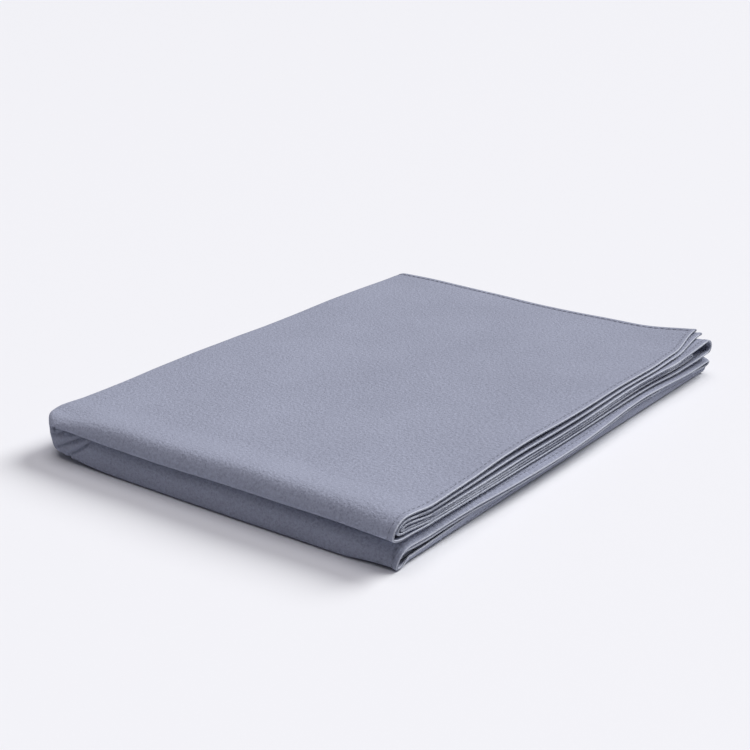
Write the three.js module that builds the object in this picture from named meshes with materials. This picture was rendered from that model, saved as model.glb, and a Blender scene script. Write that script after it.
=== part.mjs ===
// A quick dry microfibre towel, folded flat.
// One sheet is folded end to end, rolled up in thirds and folded once more across the middle, so it lies as
// a lower and an upper half of six layers each, joined by the fold at the back left.
// Millimetres, +Z up. +X points to the open, hemmed ends and +Y along the folded towel.
// The origin is the middle of the bounding box's underside.
import * as THREE from 'three';

// Driving sizes of the folded towel
const FOLDED_WIDTH = 182;
const FOLDED_LENGTH = 254;
const FOLDED_HEIGHT = 20;
const FOLD_DEPTH = 7;         // the fold across the middle is pressed flatter than a half circle
const UPPER_END_STEP = 3;     // the upper half ends this much short of the lower one
const FREE_EDGE_STEP = 3;     // the sheet's free long edges stop this much short of the rolled folds

// The cloth
const CLOTH_THICKNESS = 0.9;
const HEM_THICKNESS = 1.2;
const HEM_WIDTH = 4;
const LAYERS_PER_HALF = 6;
const HALVES_CLEARANCE = 0.35;   // from the middle plane to the nearest layer
const PIECE_GAP = 0.3;           // between two pieces that touch on the real towel

// Smoothness of the round folds
const STEPS_PER_TURN = 10;
const STEPS_ACROSS_FOLD = 20;

// Worked out from the sizes above
const MIDDLE_Z = FOLDED_HEIGHT / 2;
const FOLD_AXIS_X = -FOLDED_WIDTH / 2 + FOLD_DEPTH;
const FOLD_SQUASH = FOLD_DEPTH / MIDDLE_Z;
const FRONT_Y = -FOLDED_LENGTH / 2;
const BACK_Y = FOLDED_LENGTH / 2;
const FREE_EDGE_Y = BACK_Y - FREE_EDGE_STEP;
const FIRST_LAYER = HALVES_CLEARANCE + CLOTH_THICKNESS / 2;
const LAYER_PITCH = (MIDDLE_Z - HEM_THICKNESS / 2 - FIRST_LAYER) / (LAYERS_PER_HALF - 1);

// The way the sheet runs through one half, as the layers that each turn joins, counted from the middle plane.
// It starts on the outermost layer at one free edge and ends on the next one at the other free edge.
const OUTER_LAYER = LAYERS_PER_HALF - 1;
const TURNS = [
  { from: OUTER_LAYER, to: 0, side: -1, steps: STEPS_PER_TURN * 2 },
  { from: 0, to: 3, side: 1, steps: STEPS_PER_TURN },
  { from: 3, to: 2, side: -1, steps: STEPS_PER_TURN },
  { from: 2, to: 1, side: 1, steps: STEPS_PER_TURN },
  { from: 1, to: OUTER_LAYER - 1, side: -1, steps: STEPS_PER_TURN },
];

const layerHeight = (layer) => FIRST_LAYER + layer * LAYER_PITCH;

// Nested turns share a centre, one for each long side.
const frontCentre = FRONT_Y + (layerHeight(OUTER_LAYER) - layerHeight(0)) / 2 + HEM_THICKNESS / 2;
const backCentre = BACK_Y - (layerHeight(3) - layerHeight(0)) / 2 - HEM_THICKNESS / 2;

// One side of the sheet's section: its middle line moved sideways, to the left of the way it runs.
// Points are (Y, height from the middle plane).
function sheetSide(offset, freeEdgeY) {
  const points = [new THREE.Vector2(freeEdgeY, layerHeight(OUTER_LAYER) - offset)];
  for (const { from, to, side, steps } of TURNS) {
    const centreY = side < 0 ? frontCentre : backCentre;
    const centreHeight = (layerHeight(from) + layerHeight(to)) / 2;
    const start = Math.sign(from - to);
    const radius = Math.abs(layerHeight(from) - layerHeight(to)) / 2 + offset * side * start;
    for (let step = 0; step <= steps; step += 1) {
      const angle = Math.PI / 2 - (Math.PI * step) / steps;
      points.push(new THREE.Vector2(
        centreY + side * radius * Math.cos(angle),
        centreHeight + start * radius * Math.sin(angle),
      ));
    }
  }
  points.push(new THREE.Vector2(freeEdgeY, layerHeight(OUTER_LAYER - 1) + offset));
  return points;
}

// The section of the whole sheet through one half
function rolledSection(thickness, freeEdgeY) {
  const left = sheetSide(thickness / 2, freeEdgeY);
  const right = sheetSide(-thickness / 2, freeEdgeY);
  return new THREE.Shape([...left, ...right.reverse()]);
}

// The section of a turned hem along one free edge
function sideHemSection(layer) {
  const low = layerHeight(layer) - HEM_THICKNESS / 2;
  const high = layerHeight(layer) + HEM_THICKNESS / 2;
  return new THREE.Shape([
    new THREE.Vector2(FREE_EDGE_Y - HEM_WIDTH, low),
    new THREE.Vector2(FREE_EDGE_Y, low),
    new THREE.Vector2(FREE_EDGE_Y, high),
    new THREE.Vector2(FREE_EDGE_Y - HEM_WIDTH, high),
  ]);
}

function fabric(colour, roughness) {
  return new THREE.MeshStandardMaterial({ color: colour, roughness, metalness: 0 });
}

const towel = new THREE.Group();

function addPiece(name, geometry, material) {
  const piece = new THREE.Mesh(geometry, material);
  piece.name = name;
  towel.add(piece);
  return piece;
}

// A straight stretch of the upper half: the section stands up from the middle plane and runs along +X.
function addUpper(name, section, startX, endX, material) {
  const geometry = new THREE.ExtrudeGeometry(section, { depth: endX - startX, bevelEnabled: false });
  const piece = addPiece(name, geometry, material);
  const alongY = new THREE.Vector3(0, 1, 0);
  const up = new THREE.Vector3(0, 0, 1);
  const alongX = new THREE.Vector3(1, 0, 0);
  piece.setRotationFromMatrix(new THREE.Matrix4().makeBasis(alongY, up, alongX));
  piece.position.set(startX, 0, MIDDLE_Z);
}

// The same for the lower half: the section hangs down from the middle plane and runs back along -X.
function addLower(name, section, startX, endX, material) {
  const geometry = new THREE.ExtrudeGeometry(section, { depth: endX - startX, bevelEnabled: false });
  const piece = addPiece(name, geometry, material);
  const alongY = new THREE.Vector3(0, 1, 0);
  const down = new THREE.Vector3(0, 0, -1);
  const backwards = new THREE.Vector3(-1, 0, 0);
  piece.setRotationFromMatrix(new THREE.Matrix4().makeBasis(alongY, down, backwards));
  piece.position.set(endX, 0, MIDDLE_Z);
}

// The fold across the middle: the section is carried half a turn round the fold's axis, from the lower half
// to the upper one. A straight run of the section is bent round the axis, its depth being the angle, and
// pressed towards the axis.
function addFold(name, section, material) {
  const geometry = new THREE.ExtrudeGeometry(section, {
    depth: Math.PI,
    steps: STEPS_ACROSS_FOLD,
    bevelEnabled: false,
  });
  const points = geometry.getAttribute('position');
  for (let i = 0; i < points.count; i += 1) {
    const radius = points.getY(i);
    const angle = points.getZ(i);
    points.setXYZ(
      i,
      FOLD_AXIS_X - FOLD_SQUASH * radius * Math.sin(angle),
      points.getX(i),
      MIDDLE_Z - radius * Math.cos(angle),
    );
  }
  geometry.computeVertexNormals();
  addPiece(name, geometry, material);
}

const clothMaterial = fabric(0x9a9cab, 0.95);
const foldMaterial = fabric(0x8f91a1, 0.95);
const hemMaterial = fabric(0xa9abb8, 0.9);

const clothSection = rolledSection(CLOTH_THICKNESS, FREE_EDGE_Y - HEM_WIDTH - PIECE_GAP);
const endHemSection = rolledSection(HEM_THICKNESS, FREE_EDGE_Y);
const sideHems = [
  { name: 'outer_side_hem', section: sideHemSection(OUTER_LAYER) },
  { name: 'inner_side_hem', section: sideHemSection(OUTER_LAYER - 1) },
];

const halves = [
  { name: 'lower', add: addLower, endX: FOLDED_WIDTH / 2 },
  { name: 'upper', add: addUpper, endX: FOLDED_WIDTH / 2 - UPPER_END_STEP },
];

for (const { name, add, endX } of halves) {
  const startX = FOLD_AXIS_X + PIECE_GAP;
  const clothEndX = endX - HEM_WIDTH - PIECE_GAP;
  add(`${name}_cloth`, clothSection, startX, clothEndX, clothMaterial);
  add(`${name}_end_hem`, endHemSection, endX - HEM_WIDTH, endX, hemMaterial);
  for (const hem of sideHems) {
    add(`${name}_${hem.name}`, hem.section, startX, clothEndX, hemMaterial);
  }
}

addFold('fold_cloth', clothSection, foldMaterial);
for (const hem of sideHems) {
  addFold(`fold_${hem.name}`, hem.section, hemMaterial);
}

export default towel;
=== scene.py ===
import math

import bpy
import numpy as np
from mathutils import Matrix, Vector


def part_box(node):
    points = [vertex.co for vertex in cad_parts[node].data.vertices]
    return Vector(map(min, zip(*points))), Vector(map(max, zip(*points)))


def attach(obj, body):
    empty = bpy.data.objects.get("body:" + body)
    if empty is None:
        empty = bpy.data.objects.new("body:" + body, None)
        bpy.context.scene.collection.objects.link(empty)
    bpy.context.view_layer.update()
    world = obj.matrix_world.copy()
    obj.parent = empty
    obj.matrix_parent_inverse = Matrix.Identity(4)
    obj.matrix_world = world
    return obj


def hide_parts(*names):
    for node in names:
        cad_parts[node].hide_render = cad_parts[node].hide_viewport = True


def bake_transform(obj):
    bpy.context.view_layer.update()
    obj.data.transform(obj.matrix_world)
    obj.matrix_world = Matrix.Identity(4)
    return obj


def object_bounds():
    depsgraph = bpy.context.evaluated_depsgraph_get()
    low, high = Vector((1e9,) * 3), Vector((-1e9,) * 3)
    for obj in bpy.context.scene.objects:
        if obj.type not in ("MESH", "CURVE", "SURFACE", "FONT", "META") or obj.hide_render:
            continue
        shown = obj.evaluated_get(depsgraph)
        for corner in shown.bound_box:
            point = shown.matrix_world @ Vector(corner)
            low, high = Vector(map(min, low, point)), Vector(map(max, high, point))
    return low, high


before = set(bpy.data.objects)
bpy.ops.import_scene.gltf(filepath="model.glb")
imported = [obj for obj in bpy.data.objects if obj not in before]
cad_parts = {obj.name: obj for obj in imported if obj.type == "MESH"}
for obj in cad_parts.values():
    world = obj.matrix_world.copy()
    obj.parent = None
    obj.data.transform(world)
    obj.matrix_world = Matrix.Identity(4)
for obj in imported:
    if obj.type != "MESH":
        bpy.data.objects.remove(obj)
cad_low, cad_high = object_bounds()

# A folded quick dry towel, built as one sheet of cloth.
# Lengths are in metres where no other unit is named. A place along the sheet is given by the run or turn of
# the rolled section that it lies on, and one across it by how far it is from the fold in the middle, as a
# share of the half's reach, and by its angle round that fold: 0 in the lower half and pi in the upper one.
MM = 0.001

# ---------------------------------------------------------------- sizes, from the frame
CLOTH_THICKNESS = 0.72 * MM
HEM_THICKNESS = 0.92 * MM
HEM_WIDTH = 3.0 * MM
FREE_EDGE_STEP = 2.5 * MM     # the free long edges stop short of the rolled folds by this much
FOLD_DEPTH = 6.0 * MM         # the fold across the middle, from its axis to its outside
FRONT_FOLD_DEPTH = 7.5 * MM   # at its front end, where it is rounder
FOLD_SPREAD = 19 * MM         # the cloth that goes round the fold in the outermost layer

FOLD_X = cad_low.x + CLOTH_THICKNESS / 2
FRONT_Y = cad_low.y
BACK_Y = cad_high.y
LENGTH = BACK_Y - FRONT_Y
LOWER_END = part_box("lower_end_hem")[1].x
UPPER_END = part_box("upper_end_hem")[1].x
LOWER_REACH = LOWER_END - FOLD_X - FOLD_DEPTH
UPPER_REACH = UPPER_END - FOLD_X - FOLD_DEPTH

LAYERS = 6
OUTER = LAYERS - 1

# The turns that the sheet takes through one half, from one free edge to the other: the layer it leaves, the
# layer it joins (counted from the plane between the halves) and the side, front or back.
FRONT, BACK = -1, 1
TURNS = [(5, 0, FRONT), (0, 3, BACK), (3, 2, FRONT), (2, 1, BACK), (1, 4, FRONT)]
RUNS = [5, 0, 3, 2, 1, 4]

# How far apart neighbouring layers lie, in mm, from the inside out, at stations back from the front edge.
# In the upper half the top layers lie loosest.
STATIONS = [0, 8, 26, 102, 184, 242]
UPPER_GAPS = [
    [1.9, 0.9, 1.7, 1.6, 1.7],
    [1.8, 0.9, 1.9, 1.7, 1.7],
    [0.9, 0.95, 1.2, 2.1, 2.1],
    [1.2, 1.3, 1.5, 2.5, 2.6],
    [2.0, 1.4, 1.1, 1.7, 1.8],
    [1.9, 1.5, 2.0, 1.2, 1.2],
]
LOWER_GAPS = [
    [1.9, 1.9, 2.7, 2.0, 1.9],
    [1.9, 1.9, 2.8, 2.0, 1.9],
    [1.9, 1.9, 1.9, 2.0, 1.9],
    [1.7, 1.6, 1.6, 1.7, 1.6],
    [1.9, 1.8, 1.8, 1.9, 1.8],
    [1.5, 1.2, 1.5, 2.3, 2.3],
]
INNERMOST = 0.5 * MM          # from the plane between the halves to the middle of the first layer
LEAST_GAP = 0.82              # in mm, between the middles of pressed layers
RESTS_AT = 0.2 * MM           # the cloth lies this far above the floor, on its hems and stitches

# At the open end, at stations in mm back from the front edge: how far the lower half's topmost layer hangs
# down, and how much longer its bottom layer is, which curls up round the ends of the others. Both in mm.
OPEN_END_STATIONS = [0, 12, 60, 180, 240]
END_DROOPS = [1.5, 3.8, 2.2, 1.0, 2.6]
CURL_LENGTHS = [0.4, 1.0, 1.6, 3.4, 0.9]
DROOP_SHARES = {0: 1.0, 1: 0.9, 2: 0.6, 3: 0.3}     # each layer's share of the drooping
DROOP_LENGTH = 7 * MM         # the droop's length, in from the open end
CURL_RADIUS = 2.2 * MM
CURL_INSET = 3.6 * MM         # from the lower half's end in to the curl's face
CURL_TURN = math.radians(84)

# At the front the crease between the halves lies higher, and again at the front end of the fold, where the
# bottom lifts off the floor and the upper half's layers are gathered close together
FRONT_RISE = 1.5 * MM
FRONT_RISE_WIDTH = 17 * MM
CORNER_RISE = 1.2 * MM
CORNER_RISE_SIZE = 32 * MM
BOTTOM_RISE = 4.2 * MM
BOTTOM_RISE_SIZE = 18 * MM
PRESSED_AT_FRONT = 0.12
PRESSED_AT_CORNER = 0.75
PRESSED_SIZE = 34 * MM
PINCHED_SIZE = 16 * MM
BACK_LIFT = 1.5 * MM          # the upper half's lift at the back of the open end
LIFT_WIDTH = 36 * MM

# How far each run's hem stands out beyond the half's own end, in mm, at places back from the front edge
END_STATIONS = [0, 120, 190, 220, 250]
UPPER_ENDS = [
    [1.2, -0.9, -0.2, -1.8, -5.8],
    [0.9, -0.2, 0.6, 1.6, 2.6],
    [0.9, 0.1, 0.8, 1.8, 2.4],
    [0.5, -0.1, 0.3, 0.8, 1.2],
    [0.7, -0.4, 0.2, 0.6, 0.8],
    [1.0, -0.4, 0.3, -0.7, -3.0],
]
LOWER_ENDS = [
    [-3.0, -0.6, -0.6, -0.6, -0.8],
    [-2.6, 0.6, -0.6, -0.8, -0.7],
    [-5.0, -8.0, -8.0, -5.0, -1.6],
    [-5.4, -8.4, -8.4, -8.0, -8.0],
    [-3.0, 0.0, -1.4, -3.0, -6.0],
    [-5.0, -8.6, -8.4, -8.0, -8.0],
]


def smooth(t):
    """From 0 to 1 as t does, without a corner at either."""
    t = np.clip(t, 0, 1)
    return t * t * (3 - 2 * t)


def bump_at(value, centre, width):
    """1 at the centre, fading to nothing beyond about twice the width."""
    return np.exp(-(((value - centre) / width) ** 2))


def ripple(x, y, wavelength, seed, count=9):
    """Gentle unevenness, mostly from -1 to 1, the same each run."""
    rng = np.random.default_rng(seed)
    total = np.zeros(np.broadcast(x, y).shape)
    for _ in range(count):
        turn = rng.uniform(0, 2 * math.pi)
        wave = 2 * math.pi / wavelength * rng.uniform(0.6, 1.5)
        phase = rng.uniform(0, 2 * math.pi)
        total = total + np.sin(wave * (x * math.cos(turn) + y * math.sin(turn)) + phase)
    return total / math.sqrt(count) / 1.6


def eased(at, stops, values):
    """A smooth line through values at stops."""
    at = np.clip(at, stops[0], stops[-1])
    result = np.full(np.shape(at), float(values[0]))
    for i in range(len(stops) - 1):
        share = smooth((at - stops[i]) / (stops[i + 1] - stops[i]))
        result = result + (values[i + 1] - values[i]) * share
    return result


# ---------------------------------------------------------------- the folded shape
def fold_corner(x, y, size):
    """1 at the front end of the fold, fading along the cloth over about size."""
    return bump_at(x, 0, size) * bump_at(y, FRONT_Y, size * 0.75)


def front_line(x, y):
    """1 along the front, fading to 0 over the last two fifths towards the open end, and towards the back."""
    return (1 - smooth((x / LOWER_REACH - 0.6) / 0.35)) * bump_at(y, FRONT_Y, FRONT_RISE_WIDTH)


def crease_rise(x, y):
    """How much higher the crease between the halves lies at the front."""
    return FRONT_RISE * front_line(x, y) + CORNER_RISE * fold_corner(x, y, CORNER_RISE_SIZE)


def layer_heights(gaps, x, y, seed, pressed=0, pinched=0):
    """Height of each layer's middle above the plane between the halves, from the inside out. pressed is how
    far the layers are pressed together, from 0 to 1, and pinched how far beyond that."""
    from_front = (y - FRONT_Y) / MM
    heights = [np.full(np.broadcast(x, y).shape, INNERMOST)]
    for i in range(OUTER):
        gap = eased(from_front, STATIONS, [station[i] for station in gaps])
        gap = gap * (1 + 0.08 * ripple(x, y, 75 * MM, seed + i))
        gap = gap + (LEAST_GAP - gap) * pressed
        heights.append(heights[-1] + np.maximum(gap, LEAST_GAP) * (1 - 0.85 * pinched) * MM)
    return heights


def plane_height(x, y):
    """Height of the plane between the halves, which the lower half's layers carry."""
    carried = layer_heights(LOWER_GAPS, x, y, 40)[OUTER] + CLOTH_THICKNESS / 2
    return RESTS_AT + carried + crease_rise(x, y)


def lower_heights(x, y, share):
    """The lower half's layers, measured down from the plane. The upper ones droop at the open end, and all
    of them spread evenly between the crease and the bottom where either rises."""
    heights = layer_heights(LOWER_GAPS, x, y, 40)
    near_end = (share - 1) * LOWER_REACH
    from_front = (y - FRONT_Y) / MM
    droop = eased(from_front, OPEN_END_STATIONS, END_DROOPS) * MM
    droop = droop * np.clip((near_end + DROOP_LENGTH) / DROOP_LENGTH, 0, 1) ** 2
    for layer, part in DROOP_SHARES.items():
        heights[layer] = heights[layer] + droop * part
    spread = crease_rise(x, y) - BOTTOM_RISE * fold_corner(x, y, BOTTOM_RISE_SIZE)
    return [h + spread * layer / OUTER for layer, h in enumerate(heights)]


def upper_heights(x, y, share):
    """The upper half's layers, measured up from the plane. The whole half lifts at the back of the open
    end, and its top creeps a little."""
    pressed = PRESSED_AT_FRONT * front_line(x, y) + PRESSED_AT_CORNER * fold_corner(x, y, PRESSED_SIZE)
    heights = layer_heights(UPPER_GAPS, x, y, 20, pressed, fold_corner(x, y, PINCHED_SIZE))
    lift = BACK_LIFT * smooth((share - 0.82) / 0.18) * smooth((y - BACK_Y + LIFT_WIDTH) / LIFT_WIDTH)
    heights = [h + lift for h in heights]
    creep = 0.07 * MM * ripple(x, y, 34 * MM, 33)
    heights[OUTER] = heights[OUTER] + creep
    return heights


def fold_depth(y):
    """How far the fold's outside stands out from its axis."""
    return FOLD_DEPTH + (FRONT_FOLD_DEPTH - FOLD_DEPTH) * bump_at(y, FRONT_Y, 10 * MM)


def fold_out(layer, y):
    """How far a layer's middle stands out from the fold's axis where the sheet turns over."""
    return INNERMOST + (fold_depth(y) - INNERMOST) * layer / OUTER


def lane(run_steps, turn_steps):
    """Places along the sheet, as (run or turn, its number, share of it); a turn comes after each run."""
    places = []
    for i in range(len(RUNS)):
        last = i == len(TURNS)
        places += [("run", i, k / run_steps[i]) for k in range(run_steps[i] + last)]
        if not last:
            places += [("turn", i, k / turn_steps[i]) for k in range(turn_steps[i])]
    return places


# The shares of the half's reach with closer steps, by the fold and by the open end
FINE_BY_FOLD = 0.17
FINE_BY_END = 0.08


def strip(near_fold, fold_steps, middle=16, near_end=14):
    """Places across the sheet, as (share of the half's reach, angle round the fold), closer together by the
    fold and by the open end. near_fold is the number of steps by the fold, in the lower and upper half."""
    sides = []
    for steps in near_fold:
        by_fold = np.linspace(0, FINE_BY_FOLD, steps, endpoint=False)
        between = np.linspace(FINE_BY_FOLD, 1 - FINE_BY_END, middle, endpoint=False)
        by_end = np.linspace(1 - FINE_BY_END, 1, near_end + 1)
        sides.append([float(s) for s in np.concatenate([by_fold, between, by_end])])
    lower, upper = sides
    places = [(s, 0.0) for s in lower[:0:-1]]
    places += [(0.0, math.pi * k / fold_steps) for k in range(fold_steps)]
    places += [(s, math.pi) for s in upper]
    return places


# For each turn: how far in from the folded edge its nose lies, and its length from where the runs end, in mm
LOWER_TURNS = {0: (2.2, 6.4), 4: (5.2, 4.2), 2: (8.0, 2.4), 1: (3.2, 3.2), 3: (9.0, 1.6)}
UPPER_TURNS = {0: (0.5, 7.9), 4: (3.6, 5.4), 2: (6.2, 3.2), 1: (3.2, 3.4), 3: (20.0, 1.6)}
UPPER_BOW = 5.2 * MM          # how far the back edges bow in between the ends
LOWER_BOW = 2.0 * MM
INNER_BOW_SHARE = 0.7         # the share of it at the inner turns there
SET_BACK = 7 * MM             # the inner turns at the front lie this much further in by the fold
SET_BACK_SIZE = 24 * MM
END_SET_BACK = 1.6 * MM       # and the lower half's outermost one by this much at the open end
END_LENGTHENED = 1.8 * MM     # where it is also longer by this


def back_bow(share, angle):
    """The back edges bow in, most past the middle, towards the open end."""
    upper = smooth(angle / math.pi)
    depth = LOWER_BOW + (UPPER_BOW - LOWER_BOW) * upper
    return depth * np.sin(math.pi * np.clip(share, 0, 1) ** 1.55)


def turn_shape(i, x, share, angle):
    """(Y where the runs end, length out to the nose) of turn i, at a place across the sheet."""
    side = TURNS[i][2]
    upper = smooth(angle / math.pi)
    both = zip(LOWER_TURNS[i], UPPER_TURNS[i])
    inset, reach = [(low * (1 - upper) + high * upper) * MM for low, high in both]
    edge = FRONT_Y if side == FRONT else BACK_Y
    if side == BACK:
        inset = inset + back_bow(share, angle) * INNER_BOW_SHARE
    elif i > 0:
        inset = inset + SET_BACK * bump_at(x, 0, SET_BACK_SIZE)
    else:
        at_end = (1 - upper) * smooth((share - 0.85) / 0.15)
        inset = inset + END_SET_BACK * at_end
        reach = reach + END_LENGTHENED * at_end
    wobble = 0.3 * MM * ripple(x, angle * 0.02, 90 * MM, 70 + i)
    nose = edge - side * (inset + CLOTH_THICKNESS / 2) + wobble
    return nose - side * reach, reach


def oval(part, level):
    """A turn's outline as (share of its length out, share of the way from its inner layer to its outer one).
    part goes from 0 at the outer layer to 1 at the inner one; level is the height of the nose."""
    out = np.sin(math.pi * part)
    up = np.cos(math.pi * part)
    return out, level + up * np.where(up > 0, 1 - level, level)


# The shares of the outline up to which a bevel's first flat, bend, face, lip and last flat go
BEVEL_PARTS = [0, 0.1, 0.38, 0.62, 0.9, 1]


def bevel(part, slope, bend_radius, lip_radius, reach, height):
    """The same for a turn that bends from its outer layer into a straight face and in round a lip. slope is
    how far the face is turned from the layers, in degrees, and the rest is in mm."""
    slope = math.radians(slope)
    ahead, aside = math.cos(slope), math.sin(slope)
    face = (height - bend_radius * (1 - ahead) - lip_radius * (1 + ahead)) / aside
    bend_out = bend_radius * aside + face * ahead + lip_radius * (1 - aside)
    lip = lip_radius * (math.pi - slope)
    lengths = [0, reach - bend_out, bend_radius * slope, face, lip, reach - lip_radius]
    at = np.linspace(0, 1, 501)
    step = np.diff(np.interp(at, BEVEL_PARTS, np.cumsum(lengths)))
    turned = np.interp(at, BEVEL_PARTS, [0, 0, slope, slope, math.pi, math.pi])
    turned = (turned[1:] + turned[:-1]) / 2
    out = np.concatenate([[0], np.cumsum(step * np.cos(turned))]) / reach
    down = np.concatenate([[0], np.cumsum(step * np.sin(turned))]) / height
    return np.interp(part, at, out), np.interp(part, at, 1 - down)


def turn_outline(i, part, share, upper):
    """Turn i's outline, changing from the lower half's to the upper one's, and towards the open end."""
    if i == 0:
        low = bevel(part, slope=93, bend_radius=1.2, lip_radius=4.4, reach=6.4, height=9.6)
        low_end = oval(part, 0.88)
        low = [a + smooth((share - 0.85) / 0.15) * (b - a) for a, b in zip(low, low_end)]
        high = bevel(part, slope=84, bend_radius=5.9, lip_radius=2.2, reach=7.9, height=7.8)
        end = oval(part, 0.3)
    elif i == 4:
        low = oval(part, 0.5)
        high = bevel(part, slope=74, bend_radius=3.8, lip_radius=1.2, reach=5.4, height=5.0)
        end = oval(part, 0.38)
    else:
        low = high = end = oval(part, 0.5)
    to_end = smooth((share - 0.6) / 0.4)
    mixed = [a * (1 - to_end) + b * to_end for a, b in zip(high, end)]
    return [a * (1 - upper) + b * upper for a, b in zip(low, mixed)]


def free_edge(x, share, angle):
    """Y of the sheet's free long edges, at a place across the sheet."""
    wobble = 0.25 * MM * ripple(x, angle * 0.02, 80 * MM, 91)
    return BACK_Y - FREE_EDGE_STEP - back_bow(share, angle) + wobble


def section_at(places, across):
    """The rolled section at places along the sheet (rows) and across it (columns): Y, height from the plane
    between the halves, stand-out at the fold, and the plane's own height."""
    share = np.array([a for a, _ in across])[None, :]
    angle = np.array([b for _, b in across])[None, :]
    x = share * np.where(angle > math.pi / 2, UPPER_REACH, LOWER_REACH)
    upper = smooth(angle / math.pi)
    shape = (len(places), len(across))
    y, height, out, plane = (np.zeros(shape) for _ in range(4))

    def heights_at(at_y):
        low = lower_heights(x, at_y, share)
        high = upper_heights(x, at_y, share)
        return [a * (1 - upper) + b * upper for a, b in zip(low, high)]

    def run_edge(turn):
        if turn in (-1, len(TURNS)):
            return free_edge(x, share, angle)
        return turn_shape(turn, x, share, angle)[0]

    def rows_of(kind, number):
        rows = [r for r, place in enumerate(places) if place[:2] == (kind, number)]
        return rows, np.array([places[r][2] for r in rows])[:, None]

    for i, layer in enumerate(RUNS):
        rows, part = rows_of("run", i)
        if rows:
            at_y = run_edge(i - 1) * (1 - part) + run_edge(i) * part
            y[rows] = at_y
            height[rows] = heights_at(at_y)[layer]
            out[rows] = fold_out(layer, at_y)
            plane[rows] = plane_height(x, at_y)
    for i, (leave, join, side) in enumerate(TURNS):
        rows, part = rows_of("turn", i)
        if rows:
            centre, reach = turn_shape(i, x, share, angle)
            levels = heights_at(centre)
            outer, inner = max(leave, join), min(leave, join)
            from_outer = part if leave > join else 1 - part
            forward, up = turn_outline(i, from_outer, share, upper)
            at_y = centre + side * reach * forward
            y[rows] = at_y
            height[rows] = levels[inner] + up * (levels[outer] - levels[inner])
            out[rows] = fold_out(inner, at_y) + up * (fold_out(outer, at_y) - fold_out(inner, at_y))
            plane[rows] = plane_height(x, centre)
    return y, height, out, plane


def end_stagger(places, ends, y):
    """How far the hem stands out at each place along the sheet, eased through the turns."""
    by_run = [eased((y - FRONT_Y) / MM, END_STATIONS, values) for values in ends]
    result = np.zeros(y.shape)
    for row, (kind, i, part) in enumerate(places):
        result[row] = by_run[i][row]
        if kind == "turn":
            result[row] += (by_run[i + 1][row] - by_run[i][row]) * float(smooth(part))
    return result * MM


# Seen from above, the ends of the fold are rounded corners
FRONT_CORNER_RADIUS = 16 * MM
BACK_CORNER_RADIUS = 9 * MM


def folded_points(places, across):
    """The sheet's middle surface in the folded towel, rows along the sheet and columns across it."""
    share = np.array([a for a, _ in across])[None, :]
    angle = np.array([b for _, b in across])[None, :]
    is_upper = angle > math.pi / 2
    y, height, out, plane = section_at(places, across)
    ends = np.where(is_upper, end_stagger(places, UPPER_ENDS, y), end_stagger(places, LOWER_ENDS, y))
    ends = ends + 0.25 * MM * ripple(y, height * 6, 60 * MM, 11)
    curled = np.where(is_upper, 0, curl_share(places, y))
    axis = FOLD_X + fold_depth(y)
    end = np.where(is_upper, UPPER_END, LOWER_END)
    ends = ends + curled * eased((y - FRONT_Y) / MM, OPEN_END_STATIONS, CURL_LENGTHS) * MM
    px = axis + share * (end - axis) + share ** 3 * ends - out * np.sin(angle)
    pz = plane - height * np.cos(angle)
    px, pz = curl_up(px, pz, curled)
    points = pinch(np.stack([px, y, pz], axis=-1), places)
    points = round_corner(points, FRONT, FRONT_CORNER_RADIUS)
    return round_corner(points, BACK, BACK_CORNER_RADIUS)


def curl_share(places, y):
    """How much each place joins in the curl of the lower half's outermost layer at the open end."""
    joins = np.zeros(len(places))
    for row, (kind, i, part) in enumerate(places):
        if (kind, i) == ("run", 0):
            joins[row] = 1
        if (kind, i) == ("turn", 0):
            joins[row] = 1 - smooth(part / 0.35)
    return joins[:, None] * eased((y - FRONT_Y) / MM, [1, 9], [0, 1])


def curl_up(px, pz, curled):
    """Rolls what lies past the start of the curl up round it."""
    start = LOWER_END - CURL_INSET - CURL_RADIUS
    beyond = np.clip(px - start, 0, None)
    turned = np.minimum(beyond / CURL_RADIUS, CURL_TURN)
    straight = beyond - CURL_RADIUS * turned
    rolled_x = start + CURL_RADIUS * np.sin(turned) + straight * math.cos(CURL_TURN)
    rise = CURL_RADIUS * (1 - np.cos(turned)) + straight * math.sin(CURL_TURN)
    curled = curled * (beyond > 0)
    return px + curled * (rolled_x - px), pz + curled * rise


def round_corner(points, side, radius):
    """Draws the square corner at one end of the fold in to a round one, every layer alike."""
    edge = FRONT_Y if side == FRONT else BACK_Y
    centre_x, centre_y = cad_low.x + radius, edge - side * radius
    u = np.clip((centre_x - points[..., 0]) / radius, 0, None)
    v = np.clip((points[..., 1] - centre_y) * side / radius, 0, None)
    inside = (u > 0) & (v > 0)
    points[..., 0] = np.where(inside, centre_x - radius * u * np.sqrt(1 - v * v / 2), points[..., 0])
    points[..., 1] = np.where(inside, centre_y + side * radius * v * np.sqrt(1 - u * u / 2), points[..., 1])
    return points


# Creases where the lower half's front is gathered into the fold: the distance from the fold and the height
# of each one's two ends, in mm
PINCHES = [
    ((28.5, 10.4), (17.5, 3.0)),
    ((23.0, 11.0), (10.5, 5.5)),
    ((14.0, 12.2), (5.0, 9.5)),
    ((11.5, 13.6), (3.0, 11.6)),
]
PINCH_DEPTH = 1.9 * MM
PINCH_WIDTH = 0.75 * MM
PINCH_FADE = 0.6              # the share of its depth that a crease loses towards the fold
PINCH_BANKS = 0.35            # the height of the banks beside it, as a share of its depth


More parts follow.
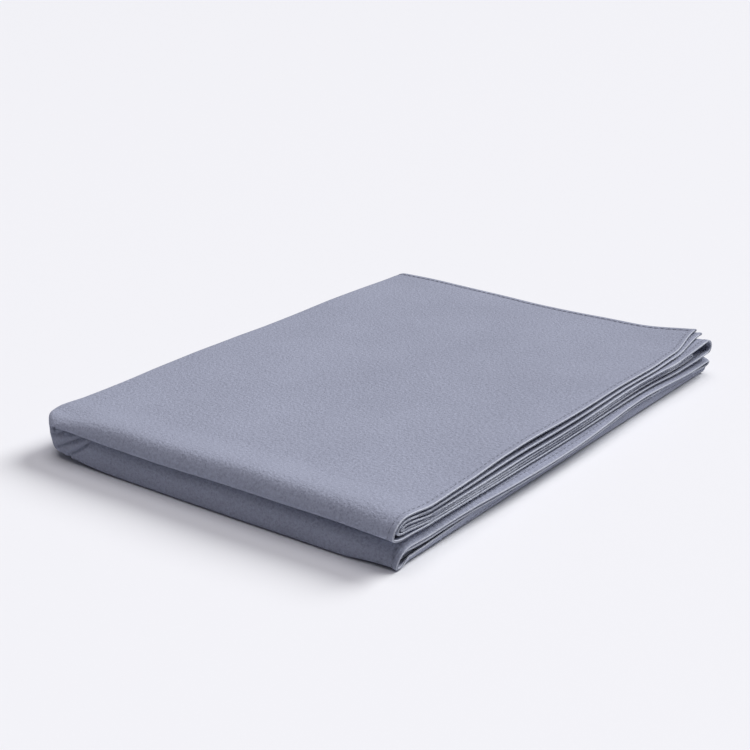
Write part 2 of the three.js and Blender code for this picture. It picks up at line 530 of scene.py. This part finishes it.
def pinch(points, places):
    """Presses the gathering creases into the outermost turn at the front."""
    rows = [r for r, place in enumerate(places) if place[:2] == ("turn", 0)]
    if not rows:
        return points
    x, z = points[rows][..., 0] - cad_low.x, points[rows][..., 2]
    for (x1, z1), (x2, z2) in PINCHES:
        start = np.array([x1, z1]) * MM
        step = np.array([x2, z2]) * MM - start
        along = np.clip(((x - start[0]) * step[0] + (z - start[1]) * step[1]) / (step @ step), 0, 1)
        away = np.hypot(x - start[0] - along * step[0], z - start[1] - along * step[1])
        depth = PINCH_DEPTH * (1 - PINCH_FADE * along)
        points[rows, :, 1] += depth * bump_at(away, 0, PINCH_WIDTH)
        points[rows, :, 1] -= PINCH_BANKS * depth * bump_at(away, 2.2 * PINCH_WIDTH, PINCH_WIDTH)
    return points


def flat_points(points, across):
    """Where a grid of points lies on the sheet laid out flat, as (across, along). Along is the length from
    the grid's first row, measured on the folded sheet."""
    steps = np.linalg.norm(np.diff(points, axis=0), axis=-1)
    along = np.concatenate([np.zeros((1, len(across))), np.cumsum(steps, axis=0)])
    over = []
    for share, angle in across:
        if 0 < angle < math.pi:
            over.append(FOLD_SPREAD * (angle / math.pi - 0.5))
        elif angle == 0:
            over.append(-FOLD_SPREAD / 2 - share * LOWER_REACH)
        else:
            over.append(FOLD_SPREAD / 2 + share * UPPER_REACH)
    over = np.broadcast_to(np.array(over), along.shape)
    return np.stack([over, along, np.zeros(along.shape)], axis=-1)


def unit(v):
    """v with every vector 1 long."""
    return v / np.maximum(np.linalg.norm(v, axis=-1, keepdims=True), 1e-12)


def surface_normals(points):
    """The normals of a grid of points, rows along the sheet and columns across it."""
    along = np.gradient(points, axis=0)
    over = np.gradient(points, axis=1)
    return unit(np.cross(over, along))


# ---------------------------------------------------------------- meshes
def quad_mesh(name, vertices, quads, flat, material):
    """A smooth mesh of quads. flat gives each vertex its place on the sheet laid out flat."""
    mesh = bpy.data.meshes.new(name)
    mesh.vertices.add(len(vertices))
    mesh.vertices.foreach_set("co", vertices.astype(np.float32).ravel())
    mesh.loops.add(quads.size)
    mesh.loops.foreach_set("vertex_index", quads.astype(np.int32).ravel())
    mesh.polygons.add(len(quads))
    mesh.polygons.foreach_set("loop_start", np.arange(0, quads.size, 4, dtype=np.int32))
    mesh.polygons.foreach_set("use_smooth", np.ones(len(quads), dtype=bool))
    mesh.update(calc_edges=True)
    place = mesh.attributes.new("flat_place", "FLOAT_VECTOR", "POINT")
    place.data.foreach_set("vector", flat.astype(np.float32).ravel())
    mesh.materials.append(material)
    obj = bpy.data.objects.new(name, mesh)
    bpy.context.collection.objects.link(obj)
    return obj


# The other face's places lie apart by this, so that its grain isn't the same
OTHER_FACE = np.array([0, 0, 0.01])


def thick_sheet(name, points, flat, thickness, material):
    """A closed mesh of a sheet: both faces and the rim round it. thickness is a number or a grid."""
    rows, columns = points.shape[:2]
    normal = surface_normals(points)
    thickness = np.broadcast_to(thickness, (rows, columns))[..., None]
    faces_up = (points + normal * thickness / 2).reshape(-1, 3)
    faces_down = (points - normal * thickness / 2).reshape(-1, 3)
    count = rows * columns
    r, c = np.meshgrid(np.arange(rows - 1), np.arange(columns - 1), indexing="ij")
    corner = (r * columns + c).ravel()
    upper = np.stack([corner, corner + 1, corner + columns + 1, corner + columns], axis=1)
    under = upper[:, ::-1] + count
    first_row = np.arange(columns)
    rim = np.concatenate([
        first_row,
        np.arange(1, rows) * columns + columns - 1,
        (rows - 1) * columns + first_row[::-1][1:],
        np.arange(rows - 2, 0, -1) * columns,
    ])
    after = np.roll(rim, -1)
    sides = np.stack([after, rim, rim + count, after + count], axis=1)
    quads = np.concatenate([upper, under, sides])
    both = np.concatenate([flat.reshape(-1, 3), flat.reshape(-1, 3) + OTHER_FACE])
    return quad_mesh(name, np.concatenate([faces_up, faces_down]), quads, both, material)


def bend_with_fold(obj):
    """obj crosses the fold. Sets its mesh to its places on the sheet laid out flat, applies its transform
    while it lies so, and then puts its folded points back."""
    mesh = obj.data
    folded = np.zeros(len(mesh.vertices) * 3, np.float32)
    mesh.vertices.foreach_get("co", folded)
    laid = np.zeros(len(mesh.vertices) * 3, np.float32)
    mesh.attributes["flat_place"].data.foreach_get("vector", laid)
    mesh.vertices.foreach_set("co", laid)
    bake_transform(obj)
    mesh.vertices.foreach_set("co", folded)
    mesh.update()
    return obj


# ---------------------------------------------------------------- materials
def node_tree(name):
    material = bpy.data.materials.new(name)
    material.use_nodes = True
    tree = material.node_tree
    shader = tree.nodes["Principled BSDF"]
    return material, tree, shader


def add_node(tree, kind, **settings):
    node = tree.nodes.new(kind)
    for key, value in settings.items():
        if key in node.inputs:
            node.inputs[key].default_value = value
        else:
            setattr(node, key, value)
    return node


def cloth_material(name, dark, light, grain_scale, rim=None):
    """Suede microfibre: a short brushed nap in soft pebbles, mottled where the nap lies different ways. rim
    is a colour painted over a hem's outer edge in place of its light and shade: a painted highlight where
    lighter, painted shade where darker."""
    material, tree, shader = node_tree(name)
    place = add_node(tree, "ShaderNodeAttribute", attribute_name="flat_place")
    mottle = add_node(tree, "ShaderNodeTexNoise", Scale=26.0, Detail=5.0, Roughness=0.62)
    pebble = add_node(tree, "ShaderNodeTexNoise", Scale=grain_scale, Detail=2.0, Roughness=0.5)
    grain = add_node(tree, "ShaderNodeTexNoise", Scale=grain_scale * 2.1, Detail=2.0, Roughness=0.6)
    fibre = add_node(tree, "ShaderNodeTexNoise", Scale=grain_scale * 7, Detail=2.0, Roughness=0.7)
    for node in (mottle, pebble, grain, fibre):
        tree.links.new(place.outputs["Vector"], node.inputs["Vector"])
    speckle = add_node(tree, "ShaderNodeMath", operation="ADD")
    tree.links.new(grain.outputs["Fac"], speckle.inputs[0])
    tree.links.new(pebble.outputs["Fac"], speckle.inputs[1])
    uneven = add_node(tree, "ShaderNodeMath", operation="MULTIPLY_ADD")
    uneven.inputs[1].default_value = 0.4
    tree.links.new(mottle.outputs["Fac"], uneven.inputs[0])
    tree.links.new(speckle.outputs[0], uneven.inputs[2])
    ramp = add_node(tree, "ShaderNodeValToRGB")
    ramp.color_ramp.elements[0].position = 0.0
    ramp.color_ramp.elements[0].color = (*dark, 1)
    ramp.color_ramp.elements[1].position = 1.0
    ramp.color_ramp.elements[1].color = (*light, 1)
    spread = add_node(tree, "ShaderNodeMapRange")
    spread.inputs["From Min"].default_value = 0.85
    spread.inputs["From Max"].default_value = 1.55
    tree.links.new(uneven.outputs[0], spread.inputs["Value"])
    tree.links.new(spread.outputs["Result"], ramp.inputs["Fac"])
    colour = ramp.outputs["Color"]
    if rim:
        colour = painted_rim_shading(tree, colour, rim)
    tree.links.new(colour, shader.inputs["Base Color"])
    bumps = [
        add_node(tree, "ShaderNodeBump", Strength=0.7, Distance=0.0006),
        add_node(tree, "ShaderNodeBump", Strength=0.7, Distance=0.0003),
        add_node(tree, "ShaderNodeBump", Strength=0.5, Distance=0.00012),
    ]
    for bump, source in zip(bumps, (pebble, grain, fibre)):
        tree.links.new(source.outputs["Fac"], bump.inputs["Height"])
    tree.links.new(bumps[0].outputs["Normal"], bumps[1].inputs["Normal"])
    tree.links.new(bumps[1].outputs["Normal"], bumps[2].inputs["Normal"])
    tree.links.new(bumps[2].outputs["Normal"], shader.inputs["Normal"])
    shader.inputs["Roughness"].default_value = 0.95
    shader.inputs["Specular IOR Level"].default_value = 0.12
    shader.inputs["Sheen Weight"].default_value = 0.15
    shader.inputs["Sheen Roughness"].default_value = 0.4
    shader.inputs["Sheen Tint"].default_value = (0.88, 0.90, 1.0, 1)
    return material


RIM_WIDTH = 0.55 * MM         # the strip at a hem's outer edge painted in the rim's colour: a painted highlight on the end hems, painted shade on the side hems
RIM_FULL = 0.3                # the share of it, along the edge, where no other colour shows


def painted_rim_shading(tree, colour, rim):
    """Paints the rim's colour over colour at a hem's outer edge, by the distance stored on its points:
    painted light and shade along that edge.
    """
    distance = add_node(tree, "ShaderNodeAttribute", attribute_name="from_edge")
    near = add_node(tree, "ShaderNodeMapRange")
    near.inputs["From Min"].default_value = RIM_WIDTH
    near.inputs["From Max"].default_value = RIM_WIDTH * RIM_FULL
    tree.links.new(distance.outputs["Fac"], near.inputs["Value"])
    mix = add_node(tree, "ShaderNodeMix", data_type="RGBA")
    tree.links.new(near.outputs["Result"], mix.inputs["Factor"])
    colour_sockets = [socket for socket in mix.inputs if socket.type == "RGBA"]
    tree.links.new(colour, colour_sockets[0])
    colour_sockets[1].default_value = (*rim, 1)
    return next(socket for socket in mix.outputs if socket.type == "RGBA")


DARK_NAP, LIGHT_NAP = (0.245, 0.262, 0.338), (0.385, 0.412, 0.520)
DARK_THREAD, LIGHT_THREAD = (0.17, 0.18, 0.23), (0.30, 0.32, 0.39)
CLOTH_GRAIN = 800             # pebbles to the metre
THREAD_GRAIN = 2600
CLOTH = cloth_material("suede_microfibre", DARK_NAP, LIGHT_NAP, CLOTH_GRAIN)
# The end hems' rim colour is a painted highlight: their outer edges are made lighter than the cloth,
# standing in for light caught on the folded edge.
END_HEM = cloth_material("end_hem_cloth", DARK_NAP, LIGHT_NAP, CLOTH_GRAIN, rim=(0.55, 0.58, 0.66))
# The side hems' rim colour is painted shade: their outer edges are made darker than the cloth, standing in
# for the shadow under the folded edge.
SIDE_HEM = cloth_material("side_hem_cloth", DARK_NAP, LIGHT_NAP, CLOTH_GRAIN, rim=(0.19, 0.20, 0.25))
THREAD = cloth_material("thread", DARK_THREAD, LIGHT_THREAD, THREAD_GRAIN)


# ---------------------------------------------------------------- the cloth
RUN_STEPS = [88, 36, 18, 18, 18, 34]
TURN_STEPS = [28, 14, 12, 10, 16]
UNDER_HEM = 0.42 * MM         # the cloth's thickness inside its hems
HEM_BLEND = 0.6 * MM          # the width over which it changes there

cloth_lane = lane(RUN_STEPS, TURN_STEPS)
cloth_strip = strip((48, 24), 20)


def cloth_thickness(places, across):
    """Full thickness all over, but thin under the hems, which stand for the cloth turned over there."""
    from_end = np.array([(1 - s) * (UPPER_REACH if angle else LOWER_REACH) for s, angle in across])[None, :]
    last = len(RUNS) - 1
    run_length = LENGTH - FREE_EDGE_STEP
    from_side = [math.inf] * len(places)
    for row, (kind, i, part) in enumerate(places):
        if (kind, i) == ("run", 0):
            from_side[row] = part * run_length
        if (kind, i) == ("run", last):
            from_side[row] = (1 - part) * run_length
    nearest = np.minimum(from_end, np.array(from_side)[:, None])
    full = smooth((nearest - HEM_WIDTH + HEM_BLEND / 2) / HEM_BLEND)
    return UNDER_HEM + (CLOTH_THICKNESS - UNDER_HEM) * full


cloth_points = folded_points(cloth_lane, cloth_strip)
cloth_laid = flat_points(cloth_points, cloth_strip)
cloth = thick_sheet("cloth", cloth_points, cloth_laid, cloth_thickness(cloth_lane, cloth_strip), CLOTH)
bend_with_fold(cloth)
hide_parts("lower_cloth", "upper_cloth", "fold_cloth")


# ---------------------------------------------------------------- hems
HEM_EDGE_RADIUS = 0.45 * MM
HEM_INNER_SLOPE = 0.35 * MM   # the width over which the hem comes down to the cloth
STITCH_LINE = 2.4 * MM        # from the hem's edge
STITCH_LINE_STEP = 0.3 * MM   # from the stitch line to the lines beside it that give its normals
GROOVE_WIDTH = 0.4 * MM
GROOVE_FLOOR = 0.1 * MM       # what the stitches leave of the hem's thickness over the cloth under it
HEM_STEPS = 20


def hem_places():
    """Distances in from the hem's edge, closer together where the edge is round."""
    return HEM_WIDTH * np.linspace(0, 1, HEM_STEPS) ** 1.7


def hem_thickness(distance):
    """Thickness across a turned hem: a round edge, a flat, the stitch line pressed in, then the cloth's."""
    edge = np.sqrt(np.clip(1 - (1 - np.clip(distance / HEM_EDGE_RADIUS, 0, 1)) ** 2, 0.03, 1))
    inner = smooth((HEM_WIDTH - distance) / HEM_INNER_SLOPE)
    groove = (HEM_THICKNESS - UNDER_HEM - GROOVE_FLOOR) * bump_at(distance, STITCH_LINE, GROOVE_WIDTH)
    flat = CLOTH_THICKNESS + 0.02 * MM + (HEM_THICKNESS - CLOTH_THICKNESS) * inner
    return (flat - groove) * edge


def store_distance(obj, distance):
    """Keeps each point's distance from the hem's edge, which its material reads."""
    values = np.tile(distance.ravel(), 2).astype(np.float32)
    stored = obj.data.attributes.new("from_edge", "FLOAT", "POINT")
    stored.data.foreach_set("value", values)


HEM_LANE = lane([110, 80, 60, 60, 60, 80], [32, 18, 14, 12, 18])
HEM_STRIP = strip((40, 30), 24, middle=36)


def span_of(half):
    """How far one half reaches from the fold, and its angle round it."""
    return (LOWER_REACH, 0.0) if half == "lower" else (UPPER_REACH, math.pi)


def end_hem(half):
    """The turned hem along the open end of one half, all the way through the rolled section."""
    reach, angle = span_of(half)
    distance = hem_places() if half == "lower" else hem_places()[::-1]
    crossing = [(1 - d / reach, angle) for d in distance]
    grid = folded_points(HEM_LANE, crossing)
    thickness = hem_thickness(distance)[None, :]
    obj = thick_sheet(f"{half}_end_hem_strip", grid, flat_points(grid, crossing), thickness, END_HEM)
    store_distance(obj, np.broadcast_to(distance[None, :], grid.shape[:2]))
    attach(obj, f"{half}_half")
    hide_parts(f"{half}_end_hem")
    return obj


def side_lane(run, distance):
    """Places in from one of the sheet's free long edges, in the order that they come along the sheet."""
    shares = distance / (LENGTH - FREE_EDGE_STEP)
    return [("run", run, s if run == 0 else 1 - s) for s in shares]


def side_hem(name, run):
    """The turned hem along one of the sheet's free long edges, from end to end across the fold."""
    distance = hem_places() if run == 0 else hem_places()[::-1]
    hem_lane = side_lane(run, distance)
    grid = folded_points(hem_lane, HEM_STRIP)
    thickness = hem_thickness(distance)[:, None]
    obj = thick_sheet(f"{name}_strip", grid, flat_points(grid, HEM_STRIP), thickness, SIDE_HEM)
    store_distance(obj, np.broadcast_to(distance[:, None], grid.shape[:2]))
    bend_with_fold(obj)
    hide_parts(f"lower_{name}", f"upper_{name}", f"fold_{name}")
    return obj


# ---------------------------------------------------------------- stitches
STITCH_PITCH = 3.0 * MM
STITCH_LENGTH = 2.3 * MM
THREAD_RADIUS = 0.14 * MM
THREAD_SIDES = 6
THREAD_RINGS = 5


def stitches(name, line, normal, flat):
    """Both faces' stitches along a line: short lengths of thread, each going into the cloth at its ends."""
    step = np.linalg.norm(np.diff(line, axis=0), axis=1)
    run = np.concatenate([[0], np.cumsum(step)])
    count = int((run[-1] - STITCH_LENGTH) / STITCH_PITCH)
    starts = (np.arange(count) + 0.3) * STITCH_PITCH
    share = np.linspace(0, 1, THREAD_RINGS)
    at = starts[:, None] + share[None, :] * STITCH_LENGTH

    def on_line(values):
        return np.stack([np.interp(at, run, values[:, k]) for k in range(3)], axis=-1)

    middle, up, laid = on_line(line), unit(on_line(normal)), on_line(flat)
    tangent = unit(np.gradient(middle, axis=1))
    side = unit(np.cross(up, tangent))
    turn = np.arange(THREAD_SIDES) * 2 * math.pi / THREAD_SIDES
    radius = THREAD_RADIUS * np.sqrt(np.clip(1 - (2 * share - 1) ** 6, 0.15, 1))[None, :, None, None]
    rise = (THREAD_RADIUS * np.sin(math.pi * share) + UNDER_HEM * 0.55)[None, :, None, None]
    vertices, places = [], []
    for face in (1, -1):
        around = up[:, :, None] * np.sin(turn)[None, None, :, None] * face
        around = around + side[:, :, None] * np.cos(turn)[None, None, :, None]
        vertices.append(middle[:, :, None] + up[:, :, None] * face * rise + around * radius)
        places.append(np.repeat(laid[:, :, None], THREAD_SIDES, axis=2))
    vertices = np.concatenate(vertices).reshape(-1, 3)
    places = np.concatenate(places).reshape(-1, 3)
    ring, k = np.meshgrid(np.arange(THREAD_RINGS - 1), np.arange(THREAD_SIDES), indexing="ij")
    a = (ring * THREAD_SIDES + k).ravel()
    b = (ring * THREAD_SIDES + (k + 1) % THREAD_SIDES).ravel()
    tube = np.stack([a, b, b + THREAD_SIDES, a + THREAD_SIDES], axis=1)
    last = (THREAD_RINGS - 1) * THREAD_SIDES
    near_cap = np.array([[3, 2, 1, 0], [5, 4, 3, 0]])
    far_cap = np.array([[0, 1, 2, 3], [0, 3, 4, 5]]) + last
    one = np.concatenate([tube, near_cap, far_cap])
    size = THREAD_RINGS * THREAD_SIDES
    all_quads = one[None] + (np.arange(2 * count) * size)[:, None, None]
    flipped = all_quads[count:, :, ::-1]
    quads = np.concatenate([all_quads[:count], flipped]).reshape(-1, 4)
    return quad_mesh(name, vertices, quads, places, THREAD)


def stitch_places(order):
    """Distances in from the hem's edge of three lines, the stitch line in the middle."""
    return STITCH_LINE + np.array([-1, 0, 1]) * order * STITCH_LINE_STEP


def end_stitches(half):
    reach, angle = span_of(half)
    distance = stitch_places(1 if half == "lower" else -1)
    crossing = [(1 - d / reach, angle) for d in distance]
    grid = folded_points(HEM_LANE, crossing)
    normal = surface_normals(grid)[:, 1]
    obj = stitches(f"{half}_end_stitches", grid[:, 1], normal, flat_points(grid, crossing)[:, 1])
    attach(obj, f"{half}_half")
    return obj


def side_stitches(name, run):
    hem_lane = side_lane(run, stitch_places(1 if run == 0 else -1))
    grid = folded_points(hem_lane, HEM_STRIP)
    normal = surface_normals(grid)[1]
    obj = stitches(f"{name}_stitches", grid[1], normal, flat_points(grid, HEM_STRIP)[1])
    bend_with_fold(obj)
    return obj


edging = []
for half in ("lower", "upper"):
    edging += [end_hem(half), end_stitches(half)]
for name, run in (("outer_side_hem", 0), ("inner_side_hem", len(RUNS) - 1)):
    edging += [side_hem(name, run), side_stitches(name, run)]


# ---------------------------------------------------------------- floor, light and camera
def plain_material(name, colour, roughness):
    material, _, shader = node_tree(name)
    shader.inputs["Base Color"].default_value = (*colour, 1)
    shader.inputs["Roughness"].default_value = roughness
    shader.inputs["Specular IOR Level"].default_value = 0.1
    return material


def floor(size):
    mesh = bpy.data.meshes.new("floor")
    half = size / 2
    corners = [(-half, -half, 0), (half, -half, 0), (half, half, 0), (-half, half, 0)]
    mesh.from_pydata(corners, [], [(0, 1, 2, 3)])
    mesh.materials.append(plain_material("pale_floor", (0.82, 0.83, 0.86), 0.9))
    obj = bpy.data.objects.new("floor", mesh)
    bpy.context.collection.objects.link(obj)
    return obj


def broad_light(name, towards, spread, strength, colour):
    """A wide soft light, as from a large window or ceiling: towards points at it, spread is in degrees."""
    data = bpy.data.lights.new(name, "SUN")
    data.energy = strength
    data.angle = math.radians(spread)
    data.color = colour
    obj = bpy.data.objects.new(name, data)
    obj.rotation_mode = "QUATERNION"
    obj.rotation_quaternion = Vector(towards).to_track_quat("Z", "Y")
    bpy.context.collection.objects.link(obj)


def studio():
    floor(size=60.0)
    world = bpy.data.worlds.new("studio")
    world.use_nodes = True
    back = world.node_tree.nodes["Background"]
    back.inputs["Color"].default_value = (0.95, 0.92, 1.0, 1)
    back.inputs["Strength"].default_value = 0.12
    bpy.context.scene.world = world
    broad_light("window", towards=(0.27, 0.72, 0.64), spread=34, strength=2.80, colour=(1.0, 1.0, 0.985))
    broad_light("ceiling", towards=(0.0, 0.0, 1.0), spread=46, strength=1.30, colour=(1.0, 0.97, 1.0))
    bpy.context.scene.view_settings.view_transform = "Standard"
    bpy.context.scene.view_settings.look = "None"


CAMERA_PLACE = (0.3571, -0.5001, 0.2436)
CAMERA_TURN = -36.44       # degrees from +Y, towards +X
CAMERA_TILT = 20.27        # degrees below the horizon
CAMERA_LENS = 72.4


def camera():
    turn, tilt = math.radians(CAMERA_TURN), math.radians(CAMERA_TILT)
    forward = Vector((
        math.sin(turn) * math.cos(tilt),
        math.cos(turn) * math.cos(tilt),
        -math.sin(tilt),
    ))
    data = bpy.data.cameras.new("camera")
    data.lens = CAMERA_LENS
    data.sensor_width = 36
    data.clip_start, data.clip_end = 0.01, 100
    obj = bpy.data.objects.new("camera", data)
    obj.location = CAMERA_PLACE
    obj.rotation_mode = "QUATERNION"
    obj.rotation_quaternion = forward.to_track_quat("-Z", "Y")
    bpy.context.collection.objects.link(obj)
    bpy.context.scene.camera = obj


studio()
camera()
